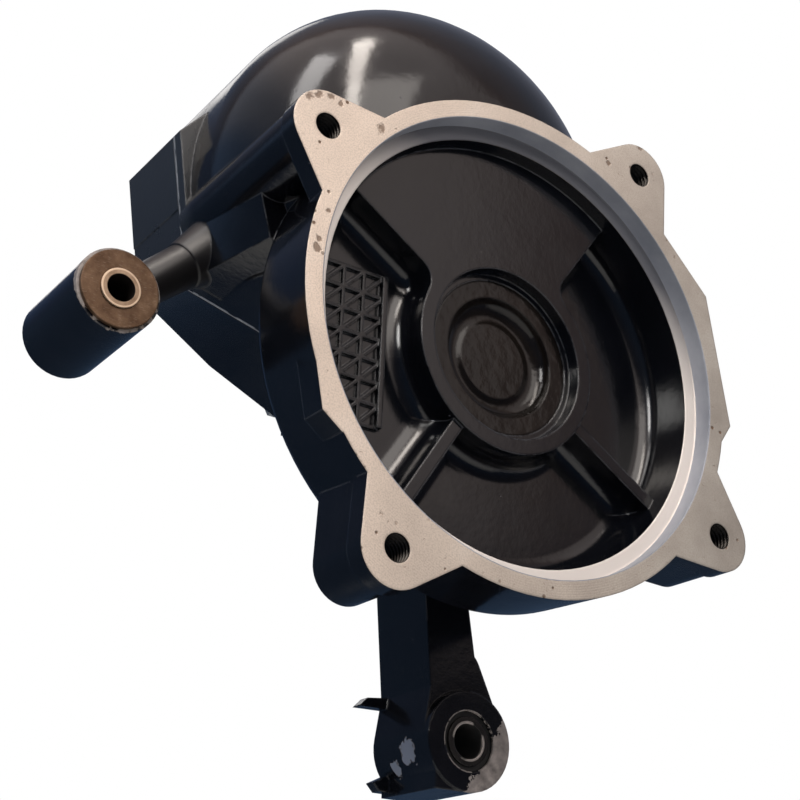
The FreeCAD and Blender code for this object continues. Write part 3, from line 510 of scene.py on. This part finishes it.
def bush_sleeve():
    """The side bush's sleeve: bronze-brown with a bright rubbed outer edge, and painted shade in its
    bore.
    """
    s = Shader("bush_sleeve_bronze")
    grain = s.noise(240.0, detail=4.0, roughness=0.6)
    edge = s.ring(BUSH_AT, BUSH_SLEEVE_R - 0.0006, BUSH_SLEEVE_R + 0.001)
    bore = s.below(s.distance(BUSH_AT), BUSH_BORE_R + 0.0002)
    tint = s.ramp(grain, [(0.3, (0.17, 0.11, 0.07)), (0.7, (0.31, 0.22, 0.15))])
    tint = s.mix(edge, tint, (0.52, 0.39, 0.28))
    # Painted shade in the bore.
    tint = s.mix(bore, tint, (0.012, 0.008, 0.006))
    rough = s.plus(s.blend(grain, 0.25, 0.42), s.times(bore, 0.4))
    normal = s.bump(grain, 0.00012, 0.5, s.rounded(0.0004))
    return s.finish(s.surface(Base_Color=tint, Metallic=0.7, Roughness=rough, Normal=normal))


def eye_sleeve():
    """The eye's sleeve: oil-black, rubbed bright in places along its inner edge."""
    s = Shader("eye_sleeve_black")
    grain = s.noise(200.0, detail=4.0, roughness=0.6)
    lip = s.all_of(s.ring(EYE_AT, *EYE_SLEEVE_LIP), s.above(s.noise(90.0, detail=2.0), 0.46, 0.08),
                   s.below(s.y, EYE_FRONT_Y + 0.0016))
    hole = s.below(s.distance(EYE_AT), EYE_SLEEVE_HOLE_R)
    tint = s.ramp(grain, [(0.3, (0.004, 0.004, 0.004)), (0.7, (0.012, 0.010, 0.009))])
    tint = s.mix(lip, tint, (0.5, 0.45, 0.42))
    rough = s.plus(s.blend(grain, 0.14, 0.3), s.times(hole, 0.6))
    normal = s.bump(grain, 0.00012, 0.5, s.rounded(0.0006))
    return s.finish(s.surface(Base_Color=tint, Metallic=s.times(lip, 0.7), Roughness=rough,
                              Normal=normal))


def rubber(name, colour):
    s = Shader(name)
    grain = s.noise(600.0, roughness=0.6)
    tint = s.ramp(grain, [(0.3, colour), (0.8, tuple(1.8 * part for part in colour))])
    rough = s.blend(grain, 0.45, 0.7)
    normal = s.bump(grain, 0.0002, 0.5, s.rounded(0.0004))
    return s.finish(s.surface(Base_Color=tint, Roughness=rough, Normal=normal))


def cap_paint():
    """The dished cap in the cup, painted over with the casting."""
    s = Shader("cap_black_paint")
    mottle = s.noise(60.0, roughness=0.55)
    tint = s.ramp(mottle, [(0.3, (0.003, 0.0024, 0.0022)), (0.8, (0.008, 0.006, 0.005))])
    rough = s.blend(mottle, 0.07, 0.16)
    normal = s.bump(s.noise(240.0), 0.00025, 0.5, s.rounded(0.0012))
    return s.finish(s.surface(Base_Color=tint, IOR=1.38, Roughness=rough, Normal=normal))


TURNED = (1.0, 0.1, 1.0)
materials = {
    "black_paint": cast_paint(),
    "cap": cap_paint(),
    "bush_sleeve": bush_sleeve(),
    "eye_sleeve": eye_sleeve(),
    "bush_rubber": rubber("bush_rubber", (0.006, 0.006, 0.006)),
    "seal_rubber": rubber("seal_rubber", (0.03, 0.016, 0.012)),
    "gasket": steel("gasket_edge", (0.34, 0.35, 0.37), 0.5),
    "bronze": bronze_face(),
    "sleeve_steel": steel("sleeve_steel", (0.46, 0.42, 0.39), 0.36, (1.0, 0.15, 1.0)),
    "bearing_steel": steel("bearing_steel", (0.62, 0.62, 0.63), 0.2, (1.0, 0.2, 1.0)),
    "spring_steel": steel("spring_steel", (0.12, 0.12, 0.13), 0.35),
    "zinc_steel": steel("zinc_steel", (0.58, 0.58, 0.56), 0.32),
    "seal_washer": steel("washer_aluminium", (0.66, 0.66, 0.66), 0.38),
    "turned_steel": steel("turned_steel", (0.5, 0.5, 0.51), 0.26, TURNED, 300.0),
    "gear_steel": steel("gear_steel", (0.42, 0.42, 0.43), 0.3, (1.0, 0.25, 1.0), 200.0),
}
slot_of = {row["node"]: row["material_slot"] for row in frame["record"]["subparts"]}
own_looks = {"closing_cap": "cap", "left_bush_sleeve": "bush_sleeve",
             "eye_bush_sleeve": "eye_sleeve"}
for name, piece in nodes.items():
    look = own_looks.get(name, slot_of[name])
    piece.data.materials.clear()
    piece.data.materials.append(materials[look])


# Floor
FLOOR_Z = -1.1
FLOOR_SIZE = 2.6
FLOOR_GLOW = 0.85


def floor_paint():
    """Pale floor that the camera sees nearly as white as the world, with a little of the shadow."""
    s = Shader("floor_pale")
    tint = s.ramp(s.noise(2.0, detail=2.0), [(0.0, (0.8, 0.8, 0.8)), (1.0, (0.82, 0.82, 0.82))])
    glow = s.add("ShaderNodeEmission")
    s.feed((1.0, 1.0, 1.0), glow.inputs["Color"])
    seen = s.times(s.add("ShaderNodeLightPath").outputs["Is Camera Ray"], FLOOR_GLOW)
    matt = s.surface(Base_Color=tint, Roughness=0.9)
    return s.finish(s.mix_shaders(seen, matt, glow.outputs[0]))


bpy.ops.mesh.primitive_plane_add(size=FLOOR_SIZE, location=(0.0, 0.0, FLOOR_Z))
floor = bpy.context.object
floor.name = "floor"
floor.data.materials.append(floor_paint())

# World: directions, and the tones that reflections see along them
BRIGHT_SIDE = (0.31, -0.42, 0.85)
RIGHT_SIDE = (0.807, 0.59, 0.0)
UP = (0.0, 0.0, 1.0)
STUDIO_TONES = [(0.2, (0.06, 0.10, 0.18)), (0.46, (0.14, 0.215, 0.36)),
                (0.62, (0.42, 0.43, 0.50)), (0.82, (1.0, 0.87, 0.83))]
RIGHT_TONES = [(0.0, (1.0, 1.0, 1.0)), (0.1, (0.92, 0.91, 0.91)), (0.21, (0.33, 0.265, 0.24)),
               (0.32, (0.32, 0.31, 0.33)), (1.0, (0.22, 0.27, 0.36))]
LOW_TONES = [(0.4, (0.04, 0.07, 0.125)), (0.8, (0.04, 0.04, 0.055))]
WHITE = (1.0, 1.0, 1.0)
PLAIN_LIGHT = (1.0, 0.98, 0.96)
PLAIN_STRENGTH = 0.7


def white_world():
    """White to the camera and through glass, and plain light on rough surfaces.

    Reflections see a studio: warm white in front and above, brown and dim toward the right,
    dim blue behind, and nearly black below."""
    world = bpy.data.worlds.new("studio")
    world.use_nodes = True
    w = Nodes(world.node_tree, "Generated")

    def background(colour, strength):
        node = w.add("ShaderNodeBackground")
        w.feed(colour, node.inputs["Color"])
        w.feed(strength, node.inputs["Strength"])
        return node.outputs[0]

    def toward(direction, start, end):
        """0 to 1 as a direction goes from start to end, measured along the given one."""
        return w.map_range(w.vector_math("DOT_PRODUCT", w.coords, direction), start, end)

    forward = toward(BRIGHT_SIDE, -1.0, 1.0)
    rightward = toward(RIGHT_SIDE, -0.05, 0.45)
    upper = w.mix(1.0, w.ramp(forward, STUDIO_TONES, "EASE"),
                  w.ramp(rightward, RIGHT_TONES, "EASE"), "MULTIPLY")
    studio = w.mix(toward(UP, 0.22, 0.34), w.ramp(forward, LOW_TONES, "EASE"), upper)

    path = w.add("ShaderNodeLightPath").outputs
    lit = w.mix_shaders(path["Is Glossy Ray"], background(PLAIN_LIGHT, PLAIN_STRENGTH),
                        background(studio, 1.0))
    seen = w.any_of(path["Is Camera Ray"], path["Is Transmission Ray"])
    shown = w.mix_shaders(seen, lit, background(WHITE, 1.0))
    w.link(shown, w.add("ShaderNodeOutputWorld").inputs[0])
    return world


scene.world = white_world()

# Lamps: what they aim at, and how far away most of them stand
MIDDLE = (0.0, 0.06, 0.0)
DOME_LEFT = (-0.072, 0.016, 0.095)
NEAR = 1.5


def area_light(name, toward, distance, aim, size, power, colour):
    """A soft lamp that stands from aim in the direction toward, its long side upright."""
    data = bpy.data.lights.new(name, "AREA")
    data.shape = "RECTANGLE"
    data.size, data.size_y = size
    data.energy = power
    data.color = colour
    lamp = bpy.data.objects.new(name, data)
    scene.collection.objects.link(lamp)
    direction = Vector(toward).normalized()
    lamp.location = Vector(aim) + direction * distance
    lamp.rotation_euler = (-direction).to_track_quat("-Z", "Y").to_euler()


area_light("key", (-0.15, -1.0, 0.75), NEAR, MIDDLE, (1.0, 0.8), 7.0, (1.0, 0.94, 0.88))
area_light("strip_front", (-0.26, -0.48, 0.83), NEAR, DOME_LEFT, (0.22, 1.3), 11.0,
           (1.0, 0.92, 0.84))
area_light("strip_left", (-0.56, -0.2, 0.8), NEAR, DOME_LEFT, (0.34, 0.8), 5.0,
           (1.0, 0.97, 0.95))
area_light("back_strip", (0.15, 0.77, 0.62), 4.0, DOME_LEFT, (0.7, 2.4), 7.0, (1.0, 0.96, 0.9))
area_light("window", (-0.765, -0.504, 0.398), NEAR, MIDDLE, (0.22, 0.42), 7.0,
           (1.0, 0.98, 0.95))

# Camera, as the photograph has it: its axes, its place and its lens
VIEW_RIGHT = Vector((0.82606722, -0.56246728, 0.03526349))
VIEW_DOWN = Vector((0.25068892, 0.31069247, -0.91685618))
VIEW_AHEAD = Vector((0.5047455, 0.766225, 0.39765718))
EYE_POINT = Vector((-0.31558, -0.39221, -0.24332))
SENSOR_MM = 36.0
LENS_MM = 68.156


def photo_camera():
    data = bpy.data.cameras.new("camera")
    data.sensor_width = SENSOR_MM
    data.lens = LENS_MM
    data.clip_start = 0.01
    camera = bpy.data.objects.new("camera", data)
    scene.collection.objects.link(camera)
    turn = Matrix((VIEW_RIGHT, -VIEW_DOWN, -VIEW_AHEAD)).transposed()
    camera.matrix_world = Matrix.Translation(EYE_POINT) @ turn.to_4x4()
    scene.camera = camera


photo_camera()
scene.view_settings.view_transform = "Standard"
